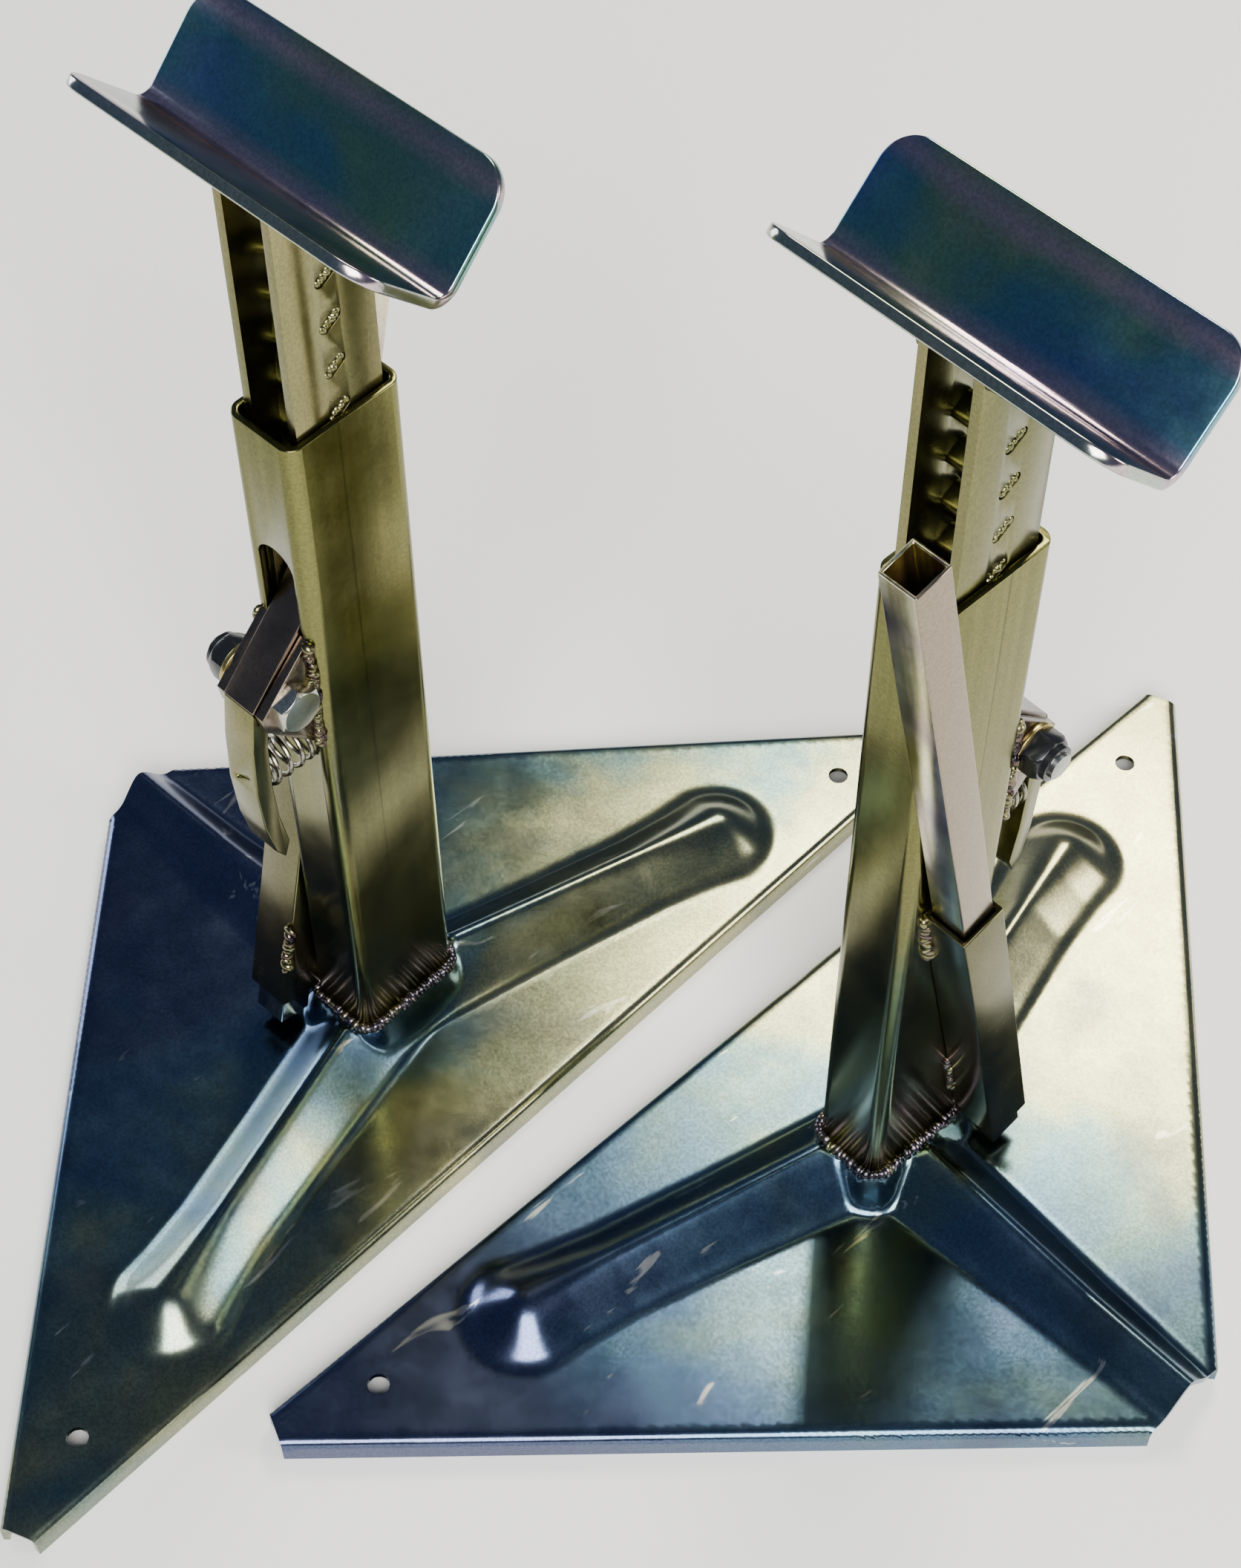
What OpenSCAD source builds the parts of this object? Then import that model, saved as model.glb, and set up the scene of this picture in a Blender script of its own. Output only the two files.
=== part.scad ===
// Pair of ratchet axle jack stands: pressed triangular base, box-section post,
// sliding ladder mast with a vee saddle, sprung pawl and stowed lifting lever.
// One stand is drawn in its own frame: x towards the single corner of the base
// (lever side), y towards the pawl, z up from the floor. The pair shares a frame
// whose origin is on the floor midway between the posts.

/* [Base plate] */
// distance from the post to the long edge
base_back = 64; // [60:1:70]
// distance from the post to the single corner, before it is clipped
base_front = 141; // [135:1:150]
// half of the long edge, before the corners are clipped
base_half = 222; // [216:1:230]
// length clipped off each end of the long edge
clip_long = 17; // [14:1:20]
// length clipped off the single corner
clip_nose = 22; // [19:1:25]
// height of the turned-down edge
flange_h = 9.5; // [8.5:0.5:10]
// diameter of the ground-peg holes
peg_hole = 7; // [6:0.5:8]

/* [Post] */
// height of the post rim above the floor
rim_h = 290.5; // [288:0.5:291]
// post wall
post_wall = 2; // [1.6:0.1:2]

/* [Mast] */
// cheek width
cheek_w = 30; // [28:1:32]
// saddle length
saddle_l = 106; // [90:1:120]
// saddle wing width
wing = 31; // [27:1:33]

/* [Lever] */
// height of the top of the stowed lever
lever_top = 336; // [300:1:345]
// lever tube size
lever_s = 12; // [11:0.5:12]

/* [Layout] */
// half the distance between the posts, across the long edges
half_x = 76.5; // [76:0.5:100]
// half the offset of the posts along the long edges
half_y = 40; // [0:1:60]
// how far the left stand is turned away from parallel, in degrees
left_turn = 2.8; // [0:0.1:3]

/* [Hidden] */
$fn = 48;
sheet = 2;
post_x = 25;
post_y = 40;
post_r = 4.5;
seat_h = 24;
mast_x = 20;
cheek_t = 3;
mast_foot = 100;
pitch = 15;
rung_n = 16;
rung_top = 336.5;
rung_w = 8;
rung_t = 4;
rung_tilt = 33;
fold_h = 354;
saddle_t = 3;
bend_r = 4;
corner_r = 10;
pivot_y = 28.8;
pivot_z = 198.5;
bolt_d = 8;
bore_d = 8.16;
ear_in = 6.4;
ear_t = 3;
tooth_w = 12;
spring_z = 167;
sleeve_s = 16;
sleeve_wall = 1.5;
lean = 13;
lever_x = post_x / 2 + sleeve_s / 2;
lever_foot = 15;
base_dx = base_front + base_back;
edge_l = norm([base_dx, base_half]);
edge_a = atan2(base_dx, base_half);
nose_x = base_front - clip_nose * sin(edge_a);
peg_x = -47.5;
peg_y = 175;
rib_a = atan2(peg_y, peg_x);
// middle of the two posts, from the middle of the pair's outline
centre_x = 0.32;
centre_y = -1.41;
rib_l = 130;
bulb_r = 20;

// half outline of the base from the long edge to the single corner
function half_base() = [[-base_back, base_half - clip_long],
  [-base_back + clip_long * sin(edge_a), base_half - clip_long * cos(edge_a)],
  [nose_x, clip_nose * cos(edge_a)]];
// inverted vee with a rounded crest: half width w, height h, crest radius r
function vee(w, h, r) = let (e = atan2(h - r, w) + asin(r / norm([w, h - r])))
  concat([[w, 0]], [for (i = [0:6]) let (t = e * (1 - i / 3))
    [r * sin(t), h - r + r * cos(t)]], [[-w, 0]]);
// rectangle with rounded corners
function rrect(x, y, r) = [for (q = [0:3], i = [0:5]) let (t = 90 * q + 18 * i,
  sx = (q == 0 || q == 3) ? 1 : -1, sy = q < 2 ? 1 : -1)
  [sx * (x / 2 - r) + r * cos(t), sy * (y / 2 - r) + r * sin(t)]];
function lever_y(z) = -8.5 - tan(lean) * (z - 175);

module left() {
  translate([centre_x - half_x, centre_y - half_y, 0]) rotate([0, 0, 180 + left_turn]) children();
}
module right() { translate([centre_x + half_x, centre_y + half_y, 0]) children(); }
// the mast of the left stand is fitted the other way round in its post
module left_mast() { left() rotate([0, 0, 180]) children(); }
module rbox(x, y, h, r) {
  translate([-x / 2 + r, -y / 2, 0]) cube([x - 2 * r, y, h]);
  translate([-x / 2, -y / 2 + r, 0]) cube([x, y - 2 * r, h]);
  for (i = [-1, 1], j = [-1, 1]) translate([i * (x / 2 - r), j * (y / 2 - r), 0])
    cylinder(h = h, r = r);
}
// a shape drawn in y and z, extruded across x and centred
module slab(w, pts) {
  rotate([90, 0, 90]) translate([0, 0, -w / 2]) linear_extrude(w) polygon(pts);
}
module rod(x, y, z, l, d) { translate([x, y, z]) rotate([0, 90, 0]) cylinder(h = l, d = d); }
// a bead between two points in a plane of constant x
module bead(x, a, b, r) {
  translate([x, a[0], a[1]]) rotate([-atan2(b[0] - a[0], b[1] - a[1]), 0, 0])
    cylinder(h = norm(b - a), r = r);
}

module rib(l, w, h, w2, h2) {
  rotate([90, 0, 90]) linear_extrude(l, scale = [w2 / w, h2 / h], slices = 1)
    polygon(vee(w, h, 5));
}
// the rounded end of a rib: each step is [radius taken off, height]
module bulb(r) {
  hull() for (step = [[0, 0], [4.5, 6], [8, 9.3], [11.5, 10.7], [15, 11]])
    translate([0, 0, step[1]]) cylinder(h = 0.01, r = r - step[0], $fn = 32);
}
// the raised hub and ribs; g narrows them for the inner side of the sheet
module relief(g) {
  rib(85, 18 - g, 17.5, 12.7 - g, 10.6);
  translate([84, 0, 0]) rib(nose_x - 84 + g, 12.5 - g, 10.5, 10 - g, 10.4);
  for (s = [-1, 1]) rotate([0, 0, s * rib_a]) {
    rib(rib_l, 18 - g, 17.5, 16.5 - g, 11);
    translate([rib_l, 0, 0]) bulb(bulb_r - g);
  }
  linear_extrude(seat_h - flange_h, scale = [28 / 38, 43 / 53], slices = 1)
    polygon(rrect(38 - 2 * g, 53 - 2 * g, 12 - g));
}
module base_plate() {
  hb = half_base();
  out = [base_half, base_dx] / edge_l;
  color([0.42, 0.44, 0.38]) difference() {
    union() {
      translate([0, 0, flange_h - sheet]) linear_extrude(sheet)
        polygon([hb[0], hb[1], hb[2], [hb[2][0], -hb[2][1]], [hb[1][0], -hb[1][1]],
                 [hb[0][0], -hb[0][1]]]);
      translate([hb[0][0], -hb[0][1], 0]) cube([sheet, 2 * hb[0][1], flange_h]);
      for (s = [-1, 1]) linear_extrude(flange_h) polygon([for (p = [hb[1], hb[2],
        hb[2] - sheet * out, hb[1] - sheet * out]) [p[0], s * p[1]]]);
      translate([0, 0, flange_h]) relief(0);
    }
    translate([0, 0, flange_h - sheet]) relief(1);
    translate([0, 0, seat_h]) linear_extrude(20)
      polygon(rrect(post_x + 5.7, post_y + 5.7, post_r + 3));
    translate([nose_x, -60, -1]) cube([40, 120, 60]);
    for (s = [-1, 1]) translate([peg_x, s * peg_y, -1]) cylinder(h = 30, d = peg_hole);
  }
}

module post() {
  color([0.45, 0.46, 0.36]) difference() {
    translate([0, 0, seat_h]) rbox(post_x, post_y, rim_h - seat_h, post_r);
    translate([0, 0, seat_h - 1]) rbox(post_x - 2 * post_wall, post_y - 2 * post_wall,
                                       rim_h, post_r - post_wall);
    translate([-6.9, 12, 187]) cube([13.8, 20, 53]);
    translate([0, 12, 240]) rotate([-90, 0, 0]) cylinder(h = 20, d = 13.8);
  }
}
module post_weld() {
  x = post_x / 2 - post_r;
  y = post_y / 2 - post_r;
  color([0.45, 0.38, 0.42]) translate([0, 0, seat_h]) intersection() {
    difference() {
      union() {
        for (s = [-1, 1]) {
          translate([-x, s * post_y / 2, 0]) rotate([0, 90, 0]) cylinder(h = 2 * x, r = 2);
          translate([s * post_x / 2, -y, 0]) rotate([-90, 0, 0]) cylinder(h = 2 * y, r = 2);
        }
        for (i = [0:3]) translate([(i == 0 || i == 3) ? x : -x, i < 2 ? y : -y, 0])
          rotate([0, 0, 90 * i]) rotate_extrude(angle = 90) translate([post_r, 0]) circle(2);
      }
      translate([0, 0, -1]) rbox(post_x, post_y, 20, post_r);
      translate([0, 0, -seat_h]) leaning() translate([-sleeve_s / 2, -sleeve_s / 2, 0])
        cube([sleeve_s, sleeve_s, 100]);
    }
    translate([-30, -30, 0]) cube(60);
  }
}
// everything inside follows the leaning lever axis, measured along it from the foot
module leaning() { translate([lever_x, lever_y(lever_foot), lever_foot]) rotate([lean, 0, 0]) children(); }
module sleeve() {
  color([0.5, 0.5, 0.36]) leaning() translate([0, 0, 11.3]) difference() {
    translate([0, 0, 71.3]) cube([sleeve_s, sleeve_s, 142.6], center = true);
    translate([0, 0, 71.3]) cube([sleeve_s - 2 * sleeve_wall, sleeve_s - 2 * sleeve_wall, 160],
                                 center = true);
  }
}
// four short fillets between the sleeve and the face of the post
module sleeve_weld() {
  h = sleeve_s / 2;
  color([0.5, 0.42, 0.38]) leaning() for (s = [-1, 1], z = [32, 128]) translate([0, 0, z])
    linear_extrude(18) polygon([for (p = [[0, 0], [0, 2.6], [1.1, 2.3], [2, 1.4], [2.4, 0]])
      [p[0] - h, s * (p[1] + h)]]);
}
module ear(x) {
  color([0.5, 0.42, 0.34]) difference() {
    translate([x, 0, 0]) slab(ear_t, [[20, 173], [38, 193], [39, 199], [20, 217]]);
    rod(x - 5, pivot_y, pivot_z, 10, bore_d);
  }
}
module ear_welds() {
  color([0.5, 0.36, 0.28]) difference() {
    for (s = [-1, 1], z = [[176, 189], [208, 213]])
      bead(s * (ear_in + ear_t), [20, z[0]], [20, z[1]], 2);
    translate([0, 0, 150]) rbox(post_x, post_y, 100, post_r);
    translate([-ear_in - ear_t, 10, 150]) cube([2 * (ear_in + ear_t), 30, 100]);
  }
}
module pivot_bolt() {
  x = ear_in + ear_t;
  color([0.75, 0.72, 0.62]) translate([-x, pivot_y, pivot_z]) rotate([0, 90, 0]) {
    cylinder(h = 2 * x + 11, d = bolt_d);
    translate([0, 0, -5.3]) intersection() {
      cylinder(h = 5.3, d = 13 / cos(30), $fn = 6);
      cylinder(h = 9, r1 = 6.3, r2 = 15.3);
    }
  }
}
module pivot_washer() {
  color([0.7, 0.62, 0.3]) translate([ear_in + ear_t, pivot_y, pivot_z]) rotate([0, 90, 0])
    difference() { cylinder(h = 1.6, d = 16); translate([0, 0, -1]) cylinder(h = 4, d = bore_d); }
}
module pivot_nut() {
  color([0.1, 0.1, 0.1]) translate([ear_in + ear_t + 1.6, pivot_y, pivot_z]) rotate([0, 90, 0])
    difference() {
      union() {
        intersection() {
          cylinder(h = 6.2, d = 13 / cos(30), $fn = 6);
          translate([0, 0, -9]) cylinder(h = 15.2, r1 = 15.3, r2 = 6.4);
        }
        cylinder(h = 8, d = 11.4);
      }
      translate([0, 0, -1]) cylinder(h = 12, d = bolt_d + 0.1);
    }
}

// one rung, or the slot and plug that go with it: a flat bar with rounded edges
module bar(x, l, z) {
  translate([x, 0, z]) rotate([rung_tilt, 0, 0]) {
    translate([0, -(rung_w - rung_t) / 2, -rung_t / 2]) cube([l, rung_w - rung_t, rung_t]);
    for (s = [-1, 1]) translate([0, s * (rung_w - rung_t) / 2, 0]) rotate([0, 90, 0])
      cylinder(h = l, d = rung_t, $fn = 24);
  }
}
function rung_zs() = [for (i = [0:rung_n - 1]) rung_top - pitch * i];
module cheek(side) {
  x = side > 0 ? mast_x / 2 - cheek_t : -mast_x / 2;
  color([0.48, 0.49, 0.38]) difference() {
    translate([x, -cheek_w / 2, mast_foot]) cube([cheek_t, cheek_w, fold_h - mast_foot + 12]);
    for (z = rung_zs()) bar(x - 1, cheek_t + 2, z);
    saddle_form(4, fold_h + 60);
  }
}
module rungs() {
  color([0.4, 0.4, 0.36]) for (z = rung_zs()) bar(-mast_x / 2 + 1, mast_x - 2, z);
}
module rung_welds() {
  color([0.5, 0.5, 0.3]) for (z = rung_zs(), s = [-1, 1])
    bar(s > 0 ? mast_x / 2 - 1 : -mast_x / 2, 1, z);
}
// the vee of the saddle as a solid filled up to the height top
module saddle_form(l, top) {
  c = fold_h + bend_r + saddle_t;
  r = bend_r + saddle_t;
  translate([-15 - l, 0, c]) rotate([0, 90, 0]) cylinder(h = 30 + 2 * l, r = r);
  slab(30 + 2 * l, [[0, c], [r * sin(45), c - r * cos(45)],
    [r * sin(45) + 40, c - r * cos(45) + 40], [-r * sin(45) - 40, c - r * cos(45) + 40],
    [-r * sin(45), c - r * cos(45)]]);
}
// one side of the folded plate in y and z: the bend at radius r from step i0, then the wing w
function saddle_side(r, w, s, i0) = concat([for (i = [i0:6]) let (t = 7.5 * i)
  [s * r * sin(t), fold_h + bend_r + saddle_t - r * cos(t)]],
  [[s * (r + w) * sin(45), fold_h + bend_r + saddle_t + (w - r) * cos(45)]]);
function turned(q) = [for (i = [len(q) - 1:-1:0]) q[i]];
module saddle() {
  w = wing - bend_r * tan(22.5);
  r = bend_r + saddle_t;
  color([0.25, 0.32, 0.36]) difference() {
    slab(saddle_l, concat(turned(saddle_side(r, w, -1, 1)), saddle_side(r, w, 1, 0),
      turned(saddle_side(bend_r, w, 1, 1)), saddle_side(bend_r, w, -1, 0)));
    for (s = [-1, 1]) translate([0, 0, fold_h + r]) rotate([s * 45, 0, 0])
      for (t = [-1, 1]) translate([t * (saddle_l / 2 - corner_r), s * (w - corner_r), -r - 1])
        difference() {
          translate([t > 0 ? 0 : -20, s > 0 ? 0 : -20, 0]) cube([20, 20, saddle_t + 2]);
          translate([0, 0, -1]) cylinder(h = saddle_t + 4, r = corner_r);
        }
  }
}
module saddle_weld() {
  z = fold_h + 2.05;
  color([0.5, 0.4, 0.3]) difference() {
    for (s = [-1, 1], t = [-1, 1])
      bead(s * mast_x / 2, [t * 4, z - 0.95], [t * 13, z + 8.05], 2);
    translate([-mast_x / 2, -20, 330]) cube([mast_x, 40, 40]);
    saddle_form(4, fold_h + 60);
  }
}

module pawl_block() {
  color([0.45, 0.44, 0.4]) difference() {
    slab(tooth_w, [[39.6, 199.5], [16, 223.5], [5.2, 238.8], [3.4, 240], [-1.5, 240],
      [-1.5, 236.3], [4.6, 236.2], [6, 231], [20, 205], [20.8, 198.5], [22.6, 192.6], [28.8, 189], [34.6, 192]]);
    rod(-10, pivot_y, pivot_z, 20, bore_d);
  }
}
module release_leg() {
  color([0.4, 0.4, 0.36]) difference() {
    slab(tooth_w, [[39.6, 199.5], [34.6, 192], [35.8, 182], [36.5, 165], [35.8, 150],
      [33.6, 136], [35.8, 130], [39, 135.5], [41.4, 148], [42.5, 165], [41.6, 184]]);
    translate([0, 42, 169]) rotate([0, 30, 0]) cube([7, 1.6, 1.4], center = true);
  }
}
// compression spring: a round wire swept along a helix, its end coils closed
module spring() {
  n = 4.5;
  m = 90;
  k = 8;
  r = 6.1;
  y0 = 20.9;
  y1 = 35.4;
  c = [for (i = [0:m]) let (u = i / m, t = 360 * n * u,
    v = u < 0.18 ? 1.7 * u * u : u > 0.82 ? 1 - 1.7 * (1 - u) * (1 - u)
      : 0.055 + (u - 0.18) * 0.89 / 0.64)
    [r * cos(t), y0 + (y1 - y0) * v, r * sin(t)]];
  pts = [for (i = [0:m], j = [0:k - 1]) let (t = 360 * n * i / m, a = 360 * j / k,
    q = r + 0.8 * cos(a)) [q * cos(t), c[i][1] + 0.8 * sin(a), q * sin(t)]];
  color([0.6, 0.6, 0.6]) translate([0, 0, spring_z]) polyhedron(pts, concat(
    [for (i = [0:m - 1], j = [0:k - 1]) let (a = i * k + j, b = i * k + (j + 1) % k)
      [a, b, b + k, a + k]],
    [[for (j = [k - 1:-1:0]) j]], [[for (j = [0:k - 1]) m * k + j]]));
}
module lever() {
  l = (lever_top - lever_foot) / cos(lean);
  color([0.62, 0.62, 0.5]) leaning() difference() {
    translate([0, 0, l / 2]) cube([lever_s, lever_s, l], center = true);
    translate([0, 0, l / 2]) cube([lever_s - 2, lever_s - 2, l + 2], center = true);
  }
}

module left_base_plate() { left() base_plate(); }
module left_post() { left() post(); }
module left_post_weld() { left() post_weld(); }
module left_sleeve() { left() sleeve(); }
module left_sleeve_weld() { left() sleeve_weld(); }
module left_ear_inner() { left() ear(-ear_in - ear_t / 2); }
module left_ear_outer() { left() ear(ear_in + ear_t / 2); }
module left_ear_welds() { left() ear_welds(); }
module left_pivot_bolt() { left() pivot_bolt(); }
module left_pivot_washer() { left() pivot_washer(); }
module left_pivot_nut() { left() pivot_nut(); }
module left_cheek_inner() { left_mast() cheek(1); }
module left_cheek_outer() { left_mast() cheek(-1); }
module left_rungs() { left_mast() rungs(); }
module left_rung_welds() { left_mast() rung_welds(); }
module left_saddle() { left_mast() saddle(); }
module left_saddle_weld() { left_mast() saddle_weld(); }
module left_pawl_block() { left() pawl_block(); }
module left_release_leg() { left() release_leg(); }
module left_spring() { left() spring(); }
module left_lever() { left() lever(); }
module right_base_plate() { right() base_plate(); }
module right_post() { right() post(); }
module right_post_weld() { right() post_weld(); }
module right_sleeve() { right() sleeve(); }
module right_sleeve_weld() { right() sleeve_weld(); }
module right_ear_inner() { right() ear(-ear_in - ear_t / 2); }
module right_ear_outer() { right() ear(ear_in + ear_t / 2); }
module right_ear_welds() { right() ear_welds(); }
module right_pivot_bolt() { right() pivot_bolt(); }
module right_pivot_washer() { right() pivot_washer(); }
module right_pivot_nut() { right() pivot_nut(); }
module right_cheek_inner() { right() cheek(-1); }
module right_cheek_outer() { right() cheek(1); }
module right_rungs() { right() rungs(); }
module right_rung_welds() { right() rung_welds(); }
module right_saddle() { right() saddle(); }
module right_saddle_weld() { right() saddle_weld(); }
module right_pawl_block() { right() pawl_block(); }
module right_release_leg() { right() release_leg(); }
module right_spring() { right() spring(); }
module right_lever() { right() lever(); }

left_base_plate();
left_post();
left_post_weld();
left_sleeve();
left_sleeve_weld();
left_ear_inner();
left_ear_outer();
left_ear_welds();
left_pivot_bolt();
left_pivot_washer();
left_pivot_nut();
left_cheek_inner();
left_cheek_outer();
left_rungs();
left_rung_welds();
left_saddle();
left_saddle_weld();
left_pawl_block();
left_release_leg();
left_spring();
left_lever();
right_base_plate();
right_post();
right_post_weld();
right_sleeve();
right_sleeve_weld();
right_ear_inner();
right_ear_outer();
right_ear_welds();
right_pivot_bolt();
right_pivot_washer();
right_pivot_nut();
right_cheek_inner();
right_cheek_outer();
right_rungs();
right_rung_welds();
right_saddle();
right_saddle_weld();
right_pawl_block();
right_release_leg();
right_spring();
right_lever();
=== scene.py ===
"""Pair of ratchet axle jack stands in bright, iridescent zinc plate."""

import math

import bmesh
import bpy
import numpy as np
from mathutils import Matrix, Vector, noise
from mathutils.geometry import delaunay_2d_cdt


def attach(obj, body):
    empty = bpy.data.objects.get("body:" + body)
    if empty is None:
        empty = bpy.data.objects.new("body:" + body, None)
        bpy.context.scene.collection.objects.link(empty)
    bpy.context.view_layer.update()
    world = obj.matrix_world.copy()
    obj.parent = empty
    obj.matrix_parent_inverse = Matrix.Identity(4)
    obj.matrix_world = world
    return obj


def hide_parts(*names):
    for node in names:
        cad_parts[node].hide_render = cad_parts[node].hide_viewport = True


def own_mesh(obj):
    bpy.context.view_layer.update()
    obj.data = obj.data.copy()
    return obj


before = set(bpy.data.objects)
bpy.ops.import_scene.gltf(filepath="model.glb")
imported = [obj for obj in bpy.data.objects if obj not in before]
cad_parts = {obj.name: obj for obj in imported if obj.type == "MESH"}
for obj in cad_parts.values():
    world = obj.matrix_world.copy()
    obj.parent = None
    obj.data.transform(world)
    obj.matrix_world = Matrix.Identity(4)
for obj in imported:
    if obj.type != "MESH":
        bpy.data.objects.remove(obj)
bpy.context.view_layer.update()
MM = 0.001
# each stand's turn and the foot of its post
STANDS = {"left": (math.radians(182.8), (-0.07618, -0.04141, 0)),
          "right": (0.0, (0.07682, 0.03859, 0))}
LEVER_LEAN = math.radians(13)
LEVER_X = 0.0205  # middle of the stowed lever, in a stand's own metres

# ---------------------------------------------------------------- camera, light and floor

CAMERA_AT = Vector((0.36405, -0.34892, 0.81193))
CAMERA_RIGHT = Vector((0.68957, 0.72422, -0.00176))
CAMERA_UP = Vector((-0.58091, 0.55456, 0.59583))


def set_camera():
    lens = bpy.data.cameras.new("camera")
    camera = bpy.data.objects.new("camera", lens)
    bpy.context.scene.collection.objects.link(camera)
    lens.sensor_fit = "HORIZONTAL"
    lens.sensor_width = 36
    lens.lens = 83.05
    lens.shift_x = -0.0038
    lens.shift_y = 0.0471
    lens.clip_start = 0.01
    back = CAMERA_RIGHT.cross(CAMERA_UP).normalized()
    turn = Matrix((CAMERA_RIGHT, CAMERA_UP, back)).transposed()
    camera.matrix_world = Matrix.Translation(CAMERA_AT) @ turn.to_4x4()
    bpy.context.scene.camera = camera


def soft_light(name, at, aim, size, watts, colour):
    """A rectangular soft box at one point, facing another."""
    lamp = bpy.data.lights.new(name, "AREA")
    lamp.shape = "RECTANGLE"
    lamp.size, lamp.size_y = size
    lamp.energy = watts
    lamp.color = colour
    light = bpy.data.objects.new(name, lamp)
    light.location = at
    light.rotation_euler = (Vector(aim) - Vector(at)).to_track_quat("-Z", "Y").to_euler()
    bpy.context.scene.collection.objects.link(light)


def set_light():
    world = bpy.data.worlds.new("studio")
    world.use_nodes = True
    background = world.node_tree.nodes["Background"]
    background.inputs["Color"].default_value = (0.09, 0.12, 0.19, 1)
    background.inputs["Strength"].default_value = 1.0
    bpy.context.scene.world = world
    soft_light("window", (-0.42, 0.84, 1.2), (0.0, 0.1, 0), (0.55, 0.42), 14,
               (1.0, 0.95, 0.74))
    soft_light("strip", (-0.30, 0.47, 1.2), (0.1, 0.0, 0), (0.05, 0.1), 0.8,
               (1.0, 0.93, 0.86))
    soft_light("front", (1.5, -1.3, 1.9), (0, 0, 0.1), (1.6, 1.6), 150, (1.0, 0.98, 0.94))
    soft_light("right", (1.6, 1.2, 0.8), (0, 0, 0.1), (0.9, 0.9), 30, (1.0, 0.95, 0.82))
    soft_light("left", (-1.8, -0.2, 0.5), (0, 0, 0.2), (0.6, 0.9), 12, (0.9, 0.95, 1.0))


def set_floor():
    size = 6
    mesh = bpy.data.meshes.new("floor")
    mesh.from_pydata([(-size, -size, 0), (size, -size, 0), (size, size, 0), (-size, size, 0)],
                     [], [(0, 1, 2, 3)])
    floor = bpy.data.objects.new("floor", mesh)
    bpy.context.scene.collection.objects.link(floor)
    paint = bpy.data.materials.new("pale_floor")
    paint.use_nodes = True
    shader = paint.node_tree.nodes["Principled BSDF"]
    shader.inputs["Base Color"].default_value = (0.93, 0.93, 0.92, 1)
    shader.inputs["Roughness"].default_value = 0.8
    mesh.materials.append(paint)


# ---------------------------------------------------------------- finishes

class Finish:
    """A material's node tree, with short calls to add and join its nodes."""

    def __init__(self, name):
        self.material = bpy.data.materials.new(name)
        self.material.use_nodes = True
        self.tree = self.material.node_tree
        self.shader = self.tree.nodes["Principled BSDF"]

    def add(self, kind, **values):
        node = self.tree.nodes.new(kind)
        for key, value in values.items():
            setattr(node, key, value)
        return node

    def join(self, source, target):
        self.tree.links.new(source, target)

    def place(self, centre=(0, 0, 0), stretch=(1, 1, 1), turn=(0, 0, 0)):
        """Object coordinates in metres, centred, turned and stretched."""
        spot = self.add("ShaderNodeTexCoord")
        shift = self.add("ShaderNodeVectorMath", operation="SUBTRACT")
        shift.inputs[1].default_value = centre
        self.join(spot.outputs["Object"], shift.inputs[0])
        mapping = self.add("ShaderNodeMapping")
        mapping.inputs["Scale"].default_value = stretch
        mapping.inputs["Rotation"].default_value = turn
        self.join(shift.outputs[0], mapping.inputs["Vector"])
        return mapping.outputs["Vector"]

    def clouds(self, vector, scale, detail=4, rough=0.55, warp=0.0):
        node = self.add("ShaderNodeTexNoise")
        node.inputs["Scale"].default_value = scale
        node.inputs["Detail"].default_value = detail
        node.inputs["Roughness"].default_value = rough
        node.inputs["Distortion"].default_value = warp
        self.join(vector, node.inputs["Vector"])
        return node.outputs["Fac"]

    def ramp(self, value, stops):
        node = self.add("ShaderNodeValToRGB")
        ends = node.color_ramp.elements
        while len(ends) < len(stops):
            ends.new(0.5)
        for end, (at, colour) in zip(ends, stops):
            end.position = at
            end.color = (*colour, 1) if len(colour) == 3 else colour
        self.join(value, node.inputs["Fac"])
        return node.outputs["Color"]

    def mix(self, factor, a, b, blend="MIX"):
        node = self.add("ShaderNodeMix", data_type="RGBA", blend_type=blend)
        for socket, source in ((node.inputs[0], factor), (node.inputs[6], a), (node.inputs[7], b)):
            if isinstance(source, (int, float)):
                socket.default_value = source
            elif isinstance(source, tuple):
                socket.default_value = (*source, 1)
            else:
                self.join(source, socket)
        return node.outputs[2]

    def sums(self, operation, a, b):
        node = self.add("ShaderNodeMath", operation=operation)
        for socket, source in zip(node.inputs, (a, b)):
            if isinstance(source, (int, float)):
                socket.default_value = source
            else:
                self.join(source, socket)
        return node.outputs[0]

    def bump(self, height, strength, distance):
        node = self.add("ShaderNodeBump")
        node.inputs["Strength"].default_value = strength
        node.inputs["Distance"].default_value = distance
        self.join(height, node.inputs["Height"])
        self.join(node.outputs["Normal"], self.shader.inputs["Normal"])

    def metal(self, colour, roughness, metallic=1.0):
        inputs = self.shader.inputs
        inputs["Metallic"].default_value = metallic
        if isinstance(colour, tuple):
            inputs["Base Color"].default_value = (*colour, 1)
        else:
            self.join(colour, inputs["Base Color"])
        if isinstance(roughness, float):
            inputs["Roughness"].default_value = roughness
        else:
            self.join(roughness, inputs["Roughness"])
        return self.material


def grey(value):
    return (value, value, value)


def plated(name, stops, scale, stretch=(1, 1, 1), speckle=0.3):
    """Zinc plate: slow drifts of colour, fine speckle and a faintly pitted skin."""
    f = Finish(name)
    drift = f.clouds(f.place(stretch=stretch), scale, detail=3, rough=0.5, warp=0.3)
    skin(f, f.ramp(drift, stops), (0.2, 0.3), speckle)
    return f.material


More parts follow.
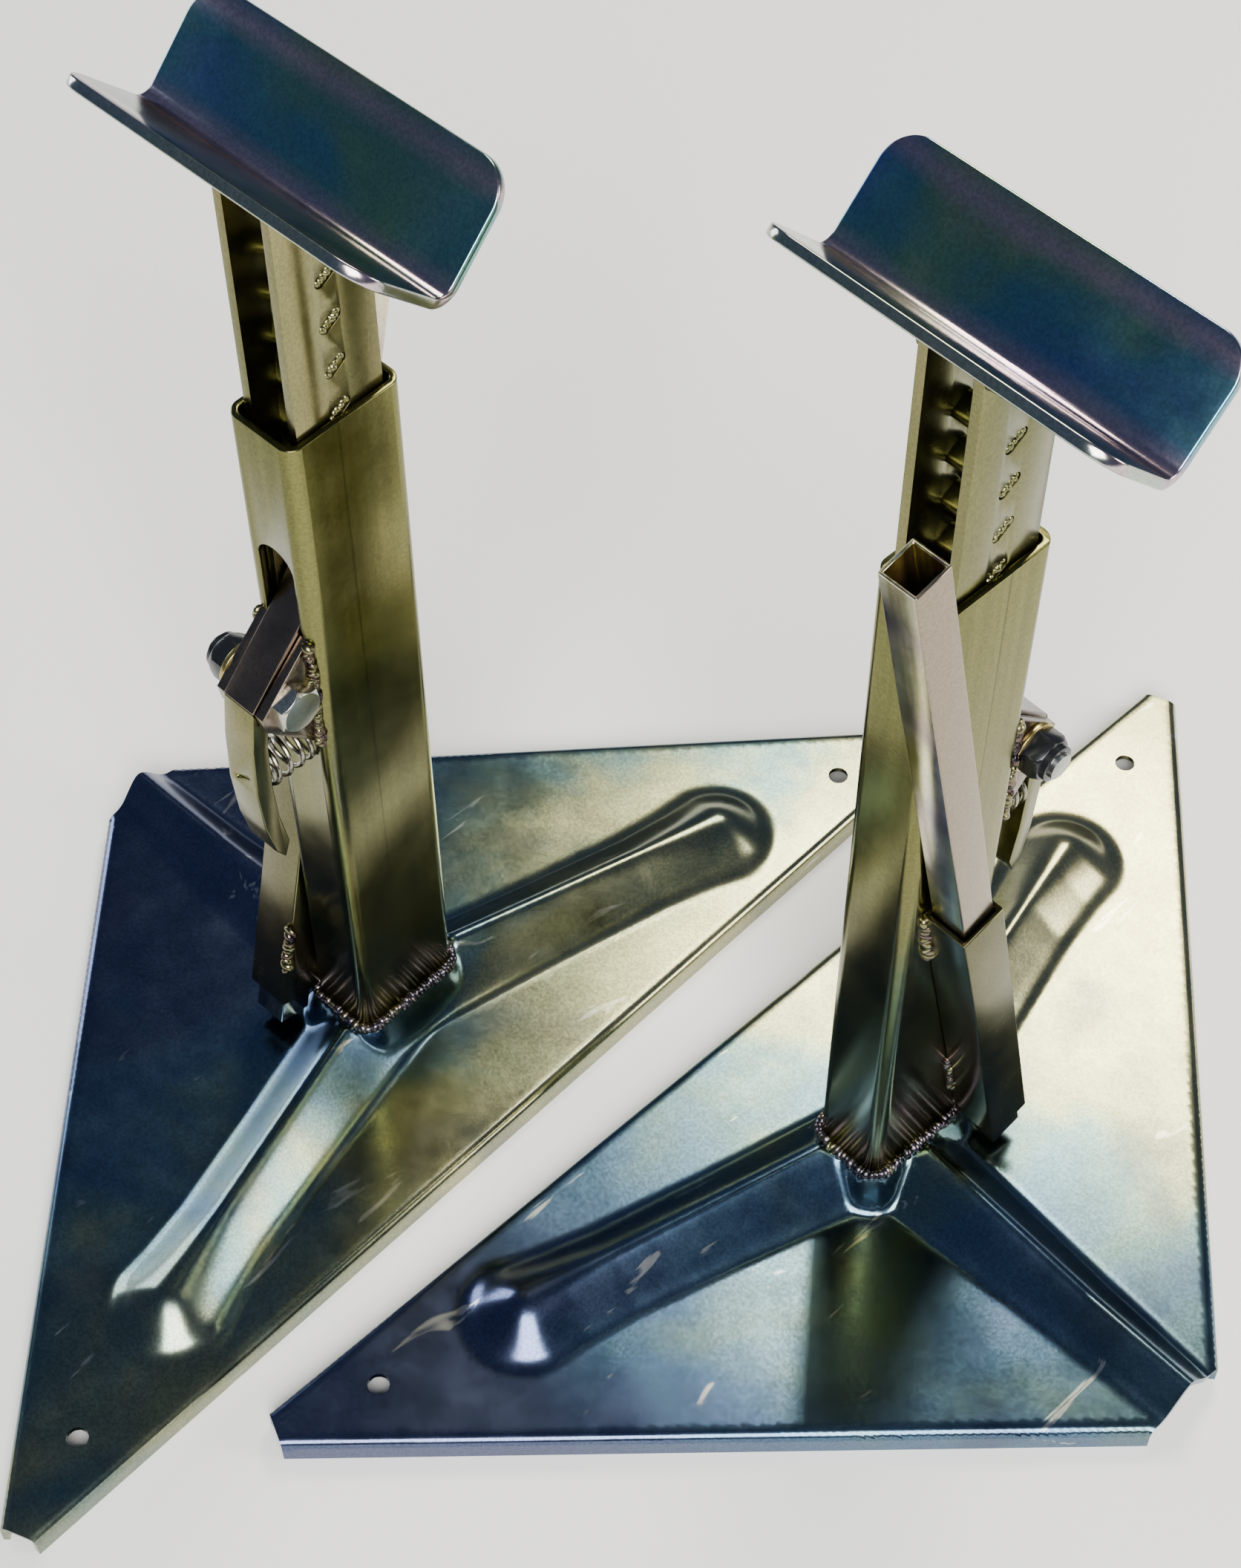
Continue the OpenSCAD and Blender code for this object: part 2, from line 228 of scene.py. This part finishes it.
def skin(f, colour, rough, speckle, marks=0.0):
    """The shared top layer of a plated finish: speckle, rubbed patches, pitting and marks."""
    still = f.place()
    grain = f.clouds(still, 1100, detail=2, rough=0.7)
    flecks = f.ramp(grain, [(0.38, grey(0.35)), (0.62, grey(1.15))])
    colour = f.mix(speckle, colour, flecks, "MULTIPLY")
    if marks:
        slanted = f.place(stretch=(1, 0.22, 1), turn=(0, 0, 0.9))
        scrape = f.clouds(slanted, 95, detail=3, rough=0.62, warp=0.6)
        colour = f.mix(f.ramp(scrape, [(0.665, grey(0)), (0.70, grey(marks))]),
                       colour, (0.66, 0.66, 0.60))
        # sparse dark spots painted where small dents would hold shade: painted shade, with no dents in
        # the geometry
        painted_dent_shade = f.clouds(still, 28, detail=1, rough=0.4)
        colour = f.mix(f.ramp(painted_dent_shade, [(0.30, grey(0.35)), (0.40, grey(0))]),
                       colour, (0.05, 0.06, 0.10))
    rubbed = f.clouds(still, 45, detail=4, rough=0.6)
    f.bump(grain, 0.1, 0.00004)
    f.metal(colour, f.ramp(rubbed, [(0.35, grey(rough[0])), (0.7, grey(rough[1]))]))


def own_axes(f, side):
    """One stand's own coordinates in metres, whole and split into X, Y and Z."""
    turn, post = STANDS[side]
    here = f.place(post, turn=(0, 0, -turn))
    axes = f.add("ShaderNodeSeparateXYZ")
    f.join(here, axes.inputs[0])
    return here, axes.outputs


def base_finish(side):
    """Navy plate that drifts through teal to straw, each stand with its straw on another side; leaning
    the straw to that side is a painted highlight where the lamps reflect, while the drift itself is
    plate tone.
    """
    f = Finish(f"{side}_base_plate")
    here, axes = own_axes(f, side)
    drift = f.clouds(here, 9, detail=4, rough=0.55, warp=0.5)
    # the lean paints straw onto the side of each plate where the lamps' reflection falls: a painted
    # highlight laid over the plate's own drifting tone
    if side == "right":
        lean = f.sums("ADD", f.sums("MULTIPLY", axes["Y"], 2.1), f.sums("MULTIPLY", axes["X"], -0.4))
    else:
        lean = f.sums("ADD", f.sums("MULTIPLY", axes["X"], -3.2), f.sums("MULTIPLY", axes["Y"], -0.5))
    shade = f.sums("ADD", f.sums("ADD", lean, drift), 0.02 if side == "right" else -0.02)
    colour = f.ramp(shade, [(0.20, (0.085, 0.105, 0.19)), (0.40, (0.085, 0.150, 0.23)),
                            (0.50, (0.12, 0.19, 0.19)), (0.60, (0.25, 0.27, 0.17)),
                            (0.85, (0.46, 0.44, 0.25))])
    skin(f, colour, (0.17, 0.26), 0.4, marks=0.55)
    return f.material


def post_finish(side):
    """Olive plate with soft upright streaks and the thin seam of the tube."""
    f = Finish(f"{side}_post_plate")
    here, axes = own_axes(f, side)
    slow = f.clouds(f.place(STANDS[side][1], (1, 1, 0.25)), 16, detail=2, rough=0.4)
    colour = f.ramp(slow, [(0.32, (0.135, 0.135, 0.045)), (0.5, (0.175, 0.17, 0.062)),
                           (0.70, (0.215, 0.195, 0.085))])
    streaks = f.clouds(f.place(STANDS[side][1], (1, 1, 0.02)), 240, detail=2, rough=0.6)
    colour = f.mix(0.5, colour, f.ramp(streaks, [(0.36, grey(0.7)), (0.62, grey(1.1))]), "MULTIPLY")
    seam = f.sums("ABSOLUTE", f.sums("SUBTRACT", axes["Y"], 0.0032), 0)
    face = f.sums("GREATER_THAN", f.sums("ABSOLUTE", axes["X"], 0), 0.0118)
    line = f.sums("MULTIPLY", f.sums("LESS_THAN", seam, 0.00035), face)
    colour = f.mix(f.sums("MULTIPLY", line, 0.45), colour, (0.045, 0.04, 0.02))
    skin(f, colour, (0.17, 0.25), 0.3)
    return f.material


def lever_finish(side):
    """Bright streaks down the face turned to the post's side, tan on the outer face."""
    f = Finish(f"{side}_lever_plate")
    here, axes = own_axes(f, side)
    across = f.sums("ADD", axes["Y"], f.sums("MULTIPLY", axes["Z"], math.tan(LEVER_LEAN)))
    along = f.add("ShaderNodeCombineXYZ")
    f.join(axes["X"], along.inputs["X"])
    f.join(across, along.inputs["Y"])
    f.join(f.sums("MULTIPLY", axes["Z"], 0.02), along.inputs["Z"])
    streaks = f.clouds(along.outputs[0], 190, detail=2, rough=0.5)
    bright = f.ramp(streaks, [(0.36, (0.34, 0.28, 0.20)), (0.46, (0.60, 0.55, 0.26)),
                              (0.56, (0.90, 0.86, 0.52)), (0.68, (0.97, 0.96, 0.88))])
    slow = f.clouds(here, 14, detail=2, rough=0.5)
    bright = f.mix(f.ramp(slow, [(0.40, grey(0)), (0.50, grey(0.7)), (0.60, grey(0))]),
                   bright, (0.42, 0.30, 0.36))
    outer = f.sums("GREATER_THAN", axes["X"], LEVER_X + 0.0055)
    skin(f, f.mix(outer, bright, (0.27, 0.22, 0.16)), (0.14, 0.24), 0.25)
    return f.material


def saddle_finish(side):
    """Blue to green plate; the near wing painted paler as a painted reflection of the floor, a violet
    band at the fold as a painted highlight, and a violet tint at the free edges.
    """
    f = Finish(f"{side}_saddle_plate")
    here, axes = own_axes(f, side)
    drift = f.clouds(here, 15, detail=3, rough=0.5, warp=0.6)
    colour = f.ramp(drift, [(0.34, (0.10, 0.20, 0.42)), (0.46, (0.13, 0.30, 0.36)),
                            (0.56, (0.19, 0.38, 0.25)), (0.70, (0.42, 0.42, 0.28))])
    near = -1 if side == "right" else 1
    # near wing painted paler: painted reflection of the bright floor it faces at a grazing angle
    near_wing_painted_reflection = f.ramp(f.sums("MULTIPLY", axes["Y"], near * 100), [(0.02, grey(0)), (0.30, grey(0.7))])
    colour = f.mix(near_wing_painted_reflection, colour, (0.50, 0.50, 0.40))
    # the violet band along the fold is a painted highlight of the fold; the band near the free edges is
    # a pink plating tint
    reach = f.sums("ABSOLUTE", axes["Y"], 0)
    wobble = f.sums("MULTIPLY", drift, 0.006)
    fold_highlight_and_edge_tint = f.ramp(f.sums("MULTIPLY", f.sums("ADD", reach, wobble), 1000 / 30),
                  [(0.10, grey(0.85)), (0.26, grey(0)), (0.66, grey(0)), (0.78, grey(0.75)),
                   (0.92, grey(0))])
    colour = f.mix(fold_highlight_and_edge_tint, colour, (0.56, 0.38, 0.44))
    skin(f, colour, (0.14, 0.22), 0.3)
    return f.material


def make_finishes():
    olive, moss, tan = (0.17, 0.165, 0.07), (0.11, 0.115, 0.045), (0.28, 0.23, 0.12)
    made = {
        "mast": plated("mast_olive", [(0.3, moss), (0.5, (0.2, 0.19, 0.085)), (0.72, tan)], 14,
                       stretch=(1, 1, 0.5)),
        "leg": plated("release_leg_olive", [(0.3, moss), (0.5, olive), (0.7, tan)], 14),
        "sleeve": plated("sleeve_olive", [(0.3, (0.09, 0.09, 0.04)), (0.5, (0.16, 0.15, 0.08)),
                                          (0.7, tan)], 14),
        "pawl": plated("pawl_brown", [(0.3, (0.13, 0.10, 0.085)), (0.55, (0.22, 0.18, 0.14)),
                                      (0.75, olive)], 20),
        "weld": plated("weld_bead", [(0.34, (0.05, 0.038, 0.045)), (0.47, (0.15, 0.11, 0.085)),
                                     (0.58, (0.19, 0.18, 0.08)), (0.7, (0.34, 0.31, 0.2))], 160,
                       speckle=0.5),
        "foot_weld": plated("foot_weld_bead", [(0.34, (0.045, 0.045, 0.05)), (0.5, (0.13, 0.11, 0.14)),
                                               (0.66, (0.2, 0.19, 0.085))], 90, speckle=0.4),
        "bolt": plated("bolt_zinc", [(0.3, (0.3, 0.32, 0.34)), (0.7, (0.55, 0.55, 0.45))], 60),
        "washer": plated("washer_yellow", [(0.3, (0.4, 0.3, 0.1)), (0.7, (0.7, 0.6, 0.25))], 60),
        "spring": plated("spring_wire", [(0.3, (0.2, 0.19, 0.15)), (0.7, (0.45, 0.42, 0.34))], 60),
    }
    for side in STANDS:
        made[f"{side}_base"] = base_finish(side)
        made[f"{side}_post"] = post_finish(side)
        made[f"{side}_saddle"] = saddle_finish(side)
        made[f"{side}_lever"] = lever_finish(side)
    nut = Finish("nut_black")
    made["nut"] = nut.metal((0.012, 0.014, 0.016), 0.22, metallic=0.4)
    return made


# ---------------------------------------------------------------- making pieces


def placed(side, points):
    """Points of one stand, in millimetres in its own frame, as points of the pair in metres."""
    turn, post = STANDS[side]
    x, y, z = (np.array(points, float) * MM).T
    c, s = math.cos(turn), math.sin(turn)
    return np.stack([c * x - s * y, s * x + c * y, z], axis=1) + np.array(post)


def mesh_piece(name, points, faces):
    mesh = bpy.data.meshes.new(name)
    mesh.from_pydata([tuple(p) for p in points], [], [tuple(f) for f in faces])
    piece = bpy.data.objects.new(name, mesh)
    bpy.context.scene.collection.objects.link(piece)
    return piece


def baked(piece):
    """The piece with its modifiers worked into its mesh."""
    bpy.context.view_layer.update()
    evaluated = piece.evaluated_get(bpy.context.evaluated_depsgraph_get())
    mesh = bpy.data.meshes.new_from_object(evaluated)
    piece.modifiers.clear()
    piece.data = mesh
    return piece


def hand_over(piece, side, body, finish, nodes, crease=35):
    """Gives a piece its finish, its body and the CAD nodes it stands for."""
    piece.data.materials.clear()
    piece.data.materials.append(FINISHES[finish])
    piece.data.shade_smooth()
    piece.data.set_sharp_from_angle(angle=math.radians(crease))
    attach(piece, f"{side}_{body}")
    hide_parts(*[f"{side}_{node}" for node in nodes])


def eased(side, node, body, finish, width, segments=2):
    """A CAD piece with its arrises broken, as stamping and plating leave them."""
    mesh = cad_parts[f"{side}_{node}"].data.copy()
    piece = bpy.data.objects.new(f"{side}_{node}_finished", mesh)
    bpy.context.scene.collection.objects.link(piece)
    work = bmesh.new()
    work.from_mesh(mesh)
    bmesh.ops.remove_doubles(work, verts=work.verts, dist=2e-6)
    bmesh.ops.dissolve_limit(work, angle_limit=math.radians(1), verts=work.verts, edges=work.edges)
    work.to_mesh(mesh)
    work.free()
    bevel = piece.modifiers.new("broken_arris", "BEVEL")
    bevel.width = width * MM
    bevel.segments = segments
    bevel.limit_method = "ANGLE"
    bevel.angle_limit = math.radians(40)
    bevel.use_clamp_overlap = True
    baked(piece)
    hand_over(piece, side, body, finish, [node])
    return piece


# ---------------------------------------------------------------- weld beads

def weld_tree():
    """Overlapping drops of weld metal along every path of the mesh, joined into one solid skin."""
    tree = bpy.data.node_groups.new("weld_run", "GeometryNodeTree")
    face = tree.interface
    face.new_socket("Geometry", in_out="INPUT", socket_type="NodeSocketGeometry")
    for name in ("Drop radius", "Spacing", "Unevenness"):
        face.new_socket(name, in_out="INPUT", socket_type="NodeSocketFloat")
    face.new_socket("Metal", in_out="INPUT", socket_type="NodeSocketMaterial")
    face.new_socket("Geometry", in_out="OUTPUT", socket_type="NodeSocketGeometry")
    add, join = tree.nodes.new, tree.links.new
    given, result = add("NodeGroupInput"), add("NodeGroupOutput")
    path = add("GeometryNodeMeshToCurve")
    join(given.outputs["Geometry"], path.inputs["Mesh"])
    steps = add("GeometryNodeResampleCurve")
    steps.mode = "LENGTH"
    join(path.outputs["Curve"], steps.inputs["Curve"])
    join(given.outputs["Spacing"], steps.inputs["Length"])
    drop = add("GeometryNodeMeshIcoSphere")
    drop.inputs["Subdivisions"].default_value = 3
    join(given.outputs["Drop radius"], drop.inputs["Radius"])
    low, high = add("ShaderNodeMath"), add("ShaderNodeMath")
    low.operation, high.operation = "SUBTRACT", "ADD"
    for node in (low, high):
        node.inputs[0].default_value = 1.0
        join(given.outputs["Unevenness"], node.inputs[1])
    size = add("FunctionNodeRandomValue")
    size.data_type = "FLOAT_VECTOR"
    size.inputs["Seed"].default_value = 11
    join(low.outputs[0], size.inputs["Min"])
    join(high.outputs[0], size.inputs["Max"])
    turn = add("FunctionNodeRandomValue")
    turn.data_type = "FLOAT_VECTOR"
    turn.inputs["Seed"].default_value = 5
    turn.inputs["Max"].default_value = (6.28, 6.28, 6.28)
    drops = add("GeometryNodeInstanceOnPoints")
    join(steps.outputs["Curve"], drops.inputs["Points"])
    join(drop.outputs["Mesh"], drops.inputs["Instance"])
    join(size.outputs["Value"], drops.inputs["Scale"])
    join(turn.outputs["Value"], drops.inputs["Rotation"])
    solid, metal = add("GeometryNodeRealizeInstances"), add("GeometryNodeSetMaterial")
    join(drops.outputs["Instances"], solid.inputs["Geometry"])
    join(solid.outputs["Geometry"], metal.inputs["Geometry"])
    join(given.outputs["Metal"], metal.inputs["Material"])
    join(metal.outputs["Geometry"], result.inputs["Geometry"])
    return tree


def weld_run(side, name, paths, radius, spacing, body, node, finish="weld", uneven=0.25):
    """Weld metal laid along paths given in the stand's own millimetres."""
    points, links = [], []
    for path in paths:
        first = len(points)
        points += list(path)
        links += [(first + i, first + i + 1) for i in range(len(path) - 1)]
    mesh = bpy.data.meshes.new(name)
    mesh.from_pydata([tuple(p) for p in placed(side, points)], links, [])
    piece = bpy.data.objects.new(f"{side}_{name}", mesh)
    bpy.context.scene.collection.objects.link(piece)
    run = piece.modifiers.new("run", "NODES")
    run.node_group = WELD
    keys = {item.name: item.identifier for item in WELD.interface.items_tree if item.in_out == "INPUT"}
    run[keys["Drop radius"]] = radius * MM
    run[keys["Spacing"]] = spacing * MM
    run[keys["Unevenness"]] = uneven
    run[keys["Metal"]] = FINISHES[finish]
    baked(piece)
    hand_over(piece, side, body, finish, [node], crease=80)


def foot_path(off=0.9, z=24.7):
    """Once round the foot of the post, just outside its faces."""
    half_x, half_y, r = 12.5 + off, 20 + off, 4.5 + off
    path = []
    for quarter in range(5):
        sx = 1 if quarter % 4 in (0, 3) else -1
        sy = 1 if quarter % 4 < 2 else -1
        for step in range(5):
            a = math.radians(90 * quarter + 22.5 * step)
            path.append((sx * (half_x - r) + r * math.cos(a), sy * (half_y - r) + r * math.sin(a), z))
    return path[:21]


def lever_y(z):
    """Where the leaning lever's middle line is at height z."""
    return -8.5 - math.tan(LEVER_LEAN) * (z - 175)


def welds(side):
    """Every weld of one stand, each run in the place of its CAD bead."""
    weld_run(side, "post_bead", [foot_path()], 2.1, 1.6, "stand", "post_weld", "foot_weld")
    ear = [[(s * 9.9, 20.6, z) for z in np.linspace(174, 215, 20)] for s in (-1, 1)]
    weld_run(side, "ear_bead", ear, 1.8, 1.5, "stand", "ear_welds", uneven=0.4)
    lean = [[(12.6, lever_y(z) + s * 8.4, z) for z in np.linspace(a, b, 9)]
            for s in (-1, 1) for a, b in ((44, 62), (138, 158))]
    weld_run(side, "sleeve_bead", lean, 2.1, 1.6, "stand", "sleeve_weld", uneven=0.35)
    turn = -1 if side == "left" else 1
    vee = [[(s * 10.3, t * y, 355.0 + max(y - 4.5, 0)) for y in np.linspace(1, 13, 8)]
           for s in (-1, 1) for t in (-1, 1)]
    weld_run(side, "saddle_bead", vee, 1.7, 1.5, "mast", "saddle_weld", uneven=0.35)
    plugs = []
    for k in range(16):
        z = 336.5 - 15 * k
        rise = turn * math.tan(math.radians(33))
        plugs += [[(s * 9.0, y, z + y * rise) for y in (-2.4, 0, 2.4)] for s in (-1, 1)]
    weld_run(side, "plug_beads", plugs, 1.35, 1.1, "mast", "rung_welds", "mast", uneven=0.3)


# ---------------------------------------------------------------- pressed base plate

CLIP_LONG, CLIP_NOSE = 17, 22
BACK, FRONT, HALF = -64.0, 141.0, 222.0
EDGE = np.array([FRONT - BACK, HALF]) / math.hypot(FRONT - BACK, HALF)
NOSE = FRONT - CLIP_NOSE * EDGE[0]
PLATE_TOP, SHEET, BEND = 9.5, 2.0, 3.0
PEGS = ((-47.5, 175.0), (-47.5, -175.0))
PEG_R = 3.5
RIB_TURN = math.atan2(PEGS[0][1], PEGS[0][0])
RIB_END = 130
LONG_RIB = [(0, 18, 18.3), (60, 16.0, 14.5), (100, 15.5, 12.3), (118, 17.5, 11.4), (RIB_END, 20, 11)]
NOSE_RIB = [(0, 18.5, 18.5), (40, 15.5, 14.5), (85, 12.5, 10.5), (127, 10.3, 10.5)]


def smooth_max(a, b, blend):
    h = np.maximum(blend - np.abs(a - b), 0) / blend
    return np.maximum(a, b) + h * h * blend / 4


def rounded_box(x, y, half_x, half_y, r):
    """Signed distance to a rounded rectangle round the post."""
    qx, qy = np.abs(x) - half_x + r, np.abs(y) - half_y + r
    return np.hypot(np.maximum(qx, 0), np.maximum(qy, 0)) + np.minimum(np.maximum(qx, qy), 0) - r


def ridge(x, y, turn, stations, end=None):
    """A pressed rib along a line from the post: (distance, half width, height) stations."""
    along = x * math.cos(turn) + y * math.sin(turn)
    aside = -x * math.sin(turn) + y * math.cos(turn)
    past = np.maximum(along - end, 0) if end else 0
    at = [s[0] for s in stations]
    width = np.interp(along, at, [s[1] for s in stations])
    height = np.interp(along, at, [s[2] for s in stations])
    crest = np.interp(along, [100, RIB_END], [2.6, 7.5]) if end else 2.6
    across = np.sqrt(aside ** 2 + past ** 2 + crest ** 2)
    return np.where(along < -2, -9.0, height * (width - across) / (width - crest))


def relief(x, y):
    """Height of the pressing above the flat of the plate."""
    high = smooth_max(ridge(x, y, 0, NOSE_RIB), np.zeros_like(x), 3.5)
    for turn in (RIB_TURN, -RIB_TURN):
        high = smooth_max(high, ridge(x, y, turn, LONG_RIB, RIB_END), 3.5)
    hub = np.minimum(-2.9 * rounded_box(x, y, 19, 26.5, 12), 14.5)
    high = smooth_max(high, hub, 3.5)
    cap = 14.5 + np.maximum(rounded_box(x, y, 15, 22.5, 7), 0) * 2
    return -smooth_max(-high, -cap, 1.5)


def edge_depth(x, y):
    """Distance in from the nearest turned-down edge."""
    slant = FRONT * EDGE[1] - (x * EDGE[1] + np.abs(y) * EDGE[0])
    return np.minimum(x - BACK, slant)


def rows_of_edge(inset):
    """The three turned-down edges moved in, each as a run of points between the clips."""
    low, far = HALF - CLIP_LONG, BACK + CLIP_LONG * EDGE[0]
    tip = HALF - CLIP_LONG * EDGE[1]
    clip = np.array([far - BACK, tip - low])
    share = inset / clip[0]
    start = np.array([BACK, low]) + clip * share
    back_step = np.array([BACK + CLIP_LONG * EDGE[0], tip])
    slope = np.array([EDGE[1], EDGE[0]])
    unit = clip / np.linalg.norm(clip)
    end = back_step - unit * inset / abs(slope @ unit)
    nose = np.array([NOSE, CLIP_NOSE * EDGE[1] - inset / EDGE[0]])
    return start, end, nose


def base_points():
    """Plan points of the plate: rows round the bends, then an even field inside."""
    rows = []
    for inset in (0.0, 0.3, 0.9, 1.8, 3.0):
        start, end, nose = rows_of_edge(inset)
        back = [(start[0], y) for y in np.linspace(start[1], -start[1], 150)]
        slant = [tuple(nose + (end - nose) * t) for t in np.linspace(0, 1, 96)]
        rows.append((back, slant, [(x, -y) for x, y in slant]))
    field = []
    step = 1.7
    for i, x in enumerate(np.arange(BACK + 4.6, NOSE - 0.8, step * 0.866)):
        for y in np.arange(-HALF, HALF, step):
            y += (i % 2) * step / 2
            inside = edge_depth(x, y) > 4.4 and np.hypot(x - PEGS[0][0], abs(y) - PEGS[0][1]) > PEG_R + 1
            corner = (x - BACK) * 0.36 + (HALF - CLIP_LONG - abs(y)) > 1.2
            if inside and corner:
                field.append((x, y))
    clipped = [(NOSE, y) for y in np.linspace(-11, 11, 15)]
    return rows, field + clipped


def base_plate(side):
    """The pressed plate: a fine sheet in plan, raised into relief, with its edges turned down."""
    rows, field = base_points()
    plan = [p for row in rows for run in row for p in run] + field
    rings = []
    for cx, cy in PEGS:
        ring = [(cx + PEG_R * math.cos(a), cy + PEG_R * math.sin(a))
                for a in np.linspace(0, 2 * math.pi, 28, endpoint=False)]
        rings.append((len(plan), len(ring)))
        plan += ring
    edges = [(first + i, first + (i + 1) % count) for first, count in rings for i in range(count)]
    verts, _, faces, _, _, _ = delaunay_2d_cdt([Vector(p) for p in plan], edges, [], 0, 1e-5)
    flat = np.array([tuple(v) for v in verts])
    keep = []
    for face in faces:
        middle = flat[list(face)].mean(axis=0)
        if all(math.hypot(middle[0] - cx, middle[1] - cy) > PEG_R * 0.98 for cx, cy in PEGS):
            keep.append(face)
    depth = edge_depth(flat[:, 0], flat[:, 1])
    near = np.clip(BEND - depth, 0, BEND)
    drop = BEND - np.sqrt(np.maximum(BEND ** 2 - near ** 2, 0))
    high = PLATE_TOP + relief(flat[:, 0], flat[:, 1]) - drop
    points = [(x, y, z) for (x, y), z in zip(flat, high)]
    lookup = {(round(x, 3), round(y, 3)): i for i, (x, y) in enumerate(flat)}
    for run in rows[0]:
        chain = [lookup.get((round(x, 3), round(y, 3))) for x, y in run]
        chain = [c for c in chain if c is not None]
        for z in (4.0, 1.6, 0.0):
            first = len(points)
            points += [(points[c][0], points[c][1], z) for c in chain]
            fresh = list(range(first, len(points)))
            keep += [(chain[i], fresh[i], fresh[i + 1], chain[i + 1]) for i in range(len(chain) - 1)]
            chain = fresh
    piece = mesh_piece(f"{side}_base_pressing", placed(side, points), keep)
    work = bmesh.new()
    work.from_mesh(piece.data)
    bmesh.ops.recalc_face_normals(work, faces=work.faces)
    top = max(work.faces, key=lambda f: f.calc_center_median().z)
    if top.normal.z < 0:
        bmesh.ops.reverse_faces(work, faces=work.faces)
    work.to_mesh(piece.data)
    work.free()
    wall = piece.modifiers.new("sheet", "SOLIDIFY")
    wall.thickness = SHEET * MM
    wall.offset = -1
    wall.use_even_offset = True
    baked(piece)
    hand_over(piece, side, "stand", f"{side}_base", ["base_plate"], crease=50)


# ---------------------------------------------------------------- build

FINISHES = make_finishes()
WELD = weld_tree()
set_camera()
set_light()
set_floor()
for side in STANDS:
    base_plate(side)
    welds(side)
    eased(side, "post", "stand", f"{side}_post", 0.35)
    eased(side, "sleeve", "stand", "sleeve", 0.6)
    for node in ("ear_inner", "ear_outer"):
        eased(side, node, "stand", "pawl", 0.25)
    eased(side, "pivot_bolt", "stand", "bolt", 0.2)
    eased(side, "pivot_washer", "stand", "washer", 0.2)
    eased(side, "pivot_nut", "stand", "nut", 0.25)
    spring = eased(side, "spring", "stand", "spring", 0.0001)
    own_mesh(spring)
    for node in ("cheek_inner", "cheek_outer"):
        eased(side, node, "mast", "mast", 0.3)
    eased(side, "rungs", "mast", "mast", 0.2)
    eased(side, "saddle", "mast", f"{side}_saddle", 0.5)
    eased(side, "pawl_block", "pawl", "pawl", 0.4)
    eased(side, "release_leg", "pawl", "leg", 0.5)
    eased(side, "lever", "lever", f"{side}_lever", 0.6, segments=3)
